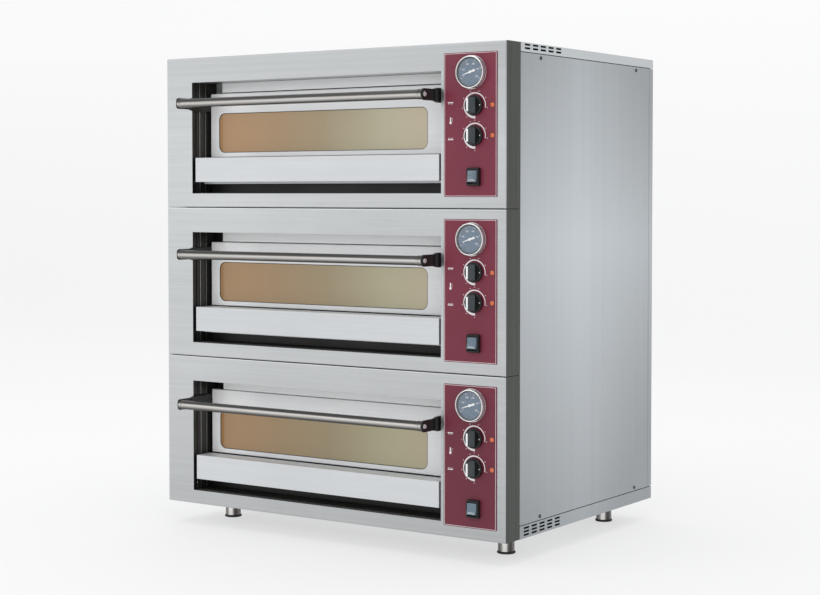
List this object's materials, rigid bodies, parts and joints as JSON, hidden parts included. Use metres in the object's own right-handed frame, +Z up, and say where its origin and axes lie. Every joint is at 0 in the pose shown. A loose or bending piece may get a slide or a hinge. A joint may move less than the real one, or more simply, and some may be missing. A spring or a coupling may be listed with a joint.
{
  "type": "deck oven",
  "caption": "Stacked electric deck oven in stainless steel with drop-down glazed doors, bar handles, dial thermometers, knobs and levelling feet.",
  "frame": {"origin": "on the floor, at the middle of the whole object's box", "axes": "+X right as one faces the oven, +Y from front to back, +Z up"},
  "size_m": [0.9044, 0.7475, 1.057],
  "materials": {
    "fascia_steel": "brushed horizontally",
    "panel_steel": "fine satin",
    "door_steel": "brushed horizontally",
    "handle_steel": "brushed along the bar",
    "chamber_steel": "aluminised, slightly heat tinted",
    "control_plate": "satin burgundy",
    "black_plastic": "fine matt",
    "dark_surround": "matt black",
    "bezel_chrome": "polished",
    "clear_glass": "clear",
    "window_glass": "bronze tinted, reflective",
    "needle_white": "satin white",
    "lamp_orange": "translucent orange",
    "rocker_grey": "translucent blue grey",
    "refractory": "cast, fine pores",
    "element_steel": "oxidised",
    "lamp_glass": "frosted",
    "thermostat_body": "matt",
    "mineral_wool": "fibrous",
    "flue_steel": "satin",
    "mount_steel": "satin black",
    "foot_rubber": "matt",
    "screw_steel": "plated"
  },
  "bodies": {
    "cabinet": {"lower_fascia": "fascia_steel", "lower_control_plate": "control_plate", "lower_chamber": "chamber_steel", "middle_fascia": "fascia_steel", "middle_control_plate": "control_plate", "middle_chamber": "chamber_steel", "upper_fascia": "fascia_steel", "upper_control_plate": "control_plate", "upper_chamber": "chamber_steel", "thermometer_cases": "bezel_chrome", "thermometer_lenses": "clear_glass", "sill_panels": "door_steel", "door_surrounds": "dark_surround", "indicator_lamps": "lamp_orange", "switch_frames": "black_plastic", "baking_stones": "refractory", "heating_elements": "element_steel", "chamber_lamps": "lamp_glass", "thermostats": "thermostat_body", "steam_flues": "flue_steel", "insulation": "mineral_wool", "roof_cover": "panel_steel", "base_tray": "panel_steel", "left_side_panel": "panel_steel", "right_side_panel": "panel_steel", "back_panel": "panel_steel", "cable_gland": "black_plastic", "panel_screws": "screw_steel", "foot_mounts": "mount_steel"},
    "lower_door": {"lower_door_panel": "door_steel", "lower_door_glass": "window_glass", "lower_door_liner": "door_steel", "lower_handle_bar": "handle_steel", "lower_handle_arms": "black_plastic"},
    "lower_top_heat_knob_turning": {"lower_top_heat_knob": "black_plastic"},
    "lower_base_heat_knob_turning": {"lower_base_heat_knob": "black_plastic"},
    "lower_rocker_tilting": {"lower_rocker": "rocker_grey"},
    "lower_needle_turning": {"lower_needle": "needle_white"},
    "middle_door": {"middle_door_panel": "door_steel", "middle_door_glass": "window_glass", "middle_door_liner": "door_steel", "middle_handle_bar": "handle_steel", "middle_handle_arms": "black_plastic"},
    "middle_top_heat_knob_turning": {"middle_top_heat_knob": "black_plastic"},
    "middle_base_heat_knob_turning": {"middle_base_heat_knob": "black_plastic"},
    "middle_rocker_tilting": {"middle_rocker": "rocker_grey"},
    "middle_needle_turning": {"middle_needle": "needle_white"},
    "upper_door": {"upper_door_panel": "door_steel", "upper_door_glass": "window_glass", "upper_door_liner": "door_steel", "upper_handle_bar": "handle_steel", "upper_handle_arms": "black_plastic"},
    "upper_top_heat_knob_turning": {"upper_top_heat_knob": "black_plastic"},
    "upper_base_heat_knob_turning": {"upper_base_heat_knob": "black_plastic"},
    "upper_rocker_tilting": {"upper_rocker": "rocker_grey"},
    "upper_needle_turning": {"upper_needle": "needle_white"},
    "front_left_foot_adjusting": {"front_left_foot": "foot_rubber"},
    "front_right_foot_adjusting": {"front_right_foot": "foot_rubber"},
    "rear_left_foot_adjusting": {"rear_left_foot": "foot_rubber"},
    "rear_right_foot_adjusting": {"rear_right_foot": "foot_rubber"}
  },
  "joints": [
    {"name": "lower_door_hinge", "type": "hinge", "parent": "cabinet", "child": "lower_door", "pos_m": [-0.04, -0.25325, 0.168], "axis": [1, 0, 0], "range_deg": [0, 90]},
    {"name": "lower_top_heat_knob_turn", "type": "hinge", "parent": "cabinet", "child": "lower_top_heat_knob_turning", "pos_m": [0.3765, -0.32075, 0.257], "axis": [0, 1, 0], "range_deg": [0, 300]},
    {"name": "lower_base_heat_knob_turn", "type": "hinge", "parent": "cabinet", "child": "lower_base_heat_knob_turning", "pos_m": [0.3765, -0.32075, 0.196], "axis": [0, 1, 0], "range_deg": [0, 300]},
    {"name": "lower_rocker_tilt", "type": "hinge", "parent": "cabinet", "child": "lower_rocker_tilting", "pos_m": [0.3765, -0.31575, 0.1135], "axis": [1, 0, 0], "range_deg": [0, 14]},
    {"name": "lower_needle_turn", "type": "hinge", "parent": "cabinet", "child": "lower_needle_turning", "pos_m": [0.37, -0.31925, 0.3235], "axis": [0, 1, 0], "range_deg": [0, 240]},
    {"name": "middle_door_hinge", "type": "hinge", "parent": "cabinet", "child": "middle_door", "pos_m": [-0.04, -0.25325, 0.504], "axis": [1, 0, 0], "range_deg": [0, 90]},
    {"name": "middle_top_heat_knob_turn", "type": "hinge", "parent": "cabinet", "child": "middle_top_heat_knob_turning", "pos_m": [0.3765, -0.32075, 0.593], "axis": [0, 1, 0], "range_deg": [0, 300]},
    {"name": "middle_base_heat_knob_turn", "type": "hinge", "parent": "cabinet", "child": "middle_base_heat_knob_turning", "pos_m": [0.3765, -0.32075, 0.532], "axis": [0, 1, 0], "range_deg": [0, 300]},
    {"name": "middle_rocker_tilt", "type": "hinge", "parent": "cabinet", "child": "middle_rocker_tilting", "pos_m": [0.3765, -0.31575, 0.4495], "axis": [1, 0, 0], "range_deg": [0, 14]},
    {"name": "middle_needle_turn", "type": "hinge", "parent": "cabinet", "child": "middle_needle_turning", "pos_m": [0.37, -0.31925, 0.6595], "axis": [0, 1, 0], "range_deg": [0, 240]},
    {"name": "upper_door_hinge", "type": "hinge", "parent": "cabinet", "child": "upper_door", "pos_m": [-0.04, -0.25325, 0.84], "axis": [1, 0, 0], "range_deg": [0, 90]},
    {"name": "upper_top_heat_knob_turn", "type": "hinge", "parent": "cabinet", "child": "upper_top_heat_knob_turning", "pos_m": [0.3765, -0.32075, 0.929], "axis": [0, 1, 0], "range_deg": [0, 300]},
    {"name": "upper_base_heat_knob_turn", "type": "hinge", "parent": "cabinet", "child": "upper_base_heat_knob_turning", "pos_m": [0.3765, -0.32075, 0.868], "axis": [0, 1, 0], "range_deg": [0, 300]},
    {"name": "upper_rocker_tilt", "type": "hinge", "parent": "cabinet", "child": "upper_rocker_tilting", "pos_m": [0.3765, -0.31575, 0.7855], "axis": [1, 0, 0], "range_deg": [0, 14]},
    {"name": "upper_needle_turn", "type": "hinge", "parent": "cabinet", "child": "upper_needle_turning", "pos_m": [0.37, -0.31925, 0.9955], "axis": [0, 1, 0], "range_deg": [0, 240]},
    {"name": "front_left_foot_height", "type": "slide", "parent": "cabinet", "child": "front_left_foot_adjusting", "axis": [0, 0, -1], "range_m": [0, 0.015]},
    {"name": "front_right_foot_height", "type": "slide", "parent": "cabinet", "child": "front_right_foot_adjusting", "axis": [0, 0, -1], "range_m": [0, 0.015]},
    {"name": "rear_left_foot_height", "type": "slide", "parent": "cabinet", "child": "rear_left_foot_adjusting", "axis": [0, 0, -1], "range_m": [0, 0.015]},
    {"name": "rear_right_foot_height", "type": "slide", "parent": "cabinet", "child": "rear_right_foot_adjusting", "axis": [0, 0, -1], "range_m": [0, 0.015]}
  ]
}
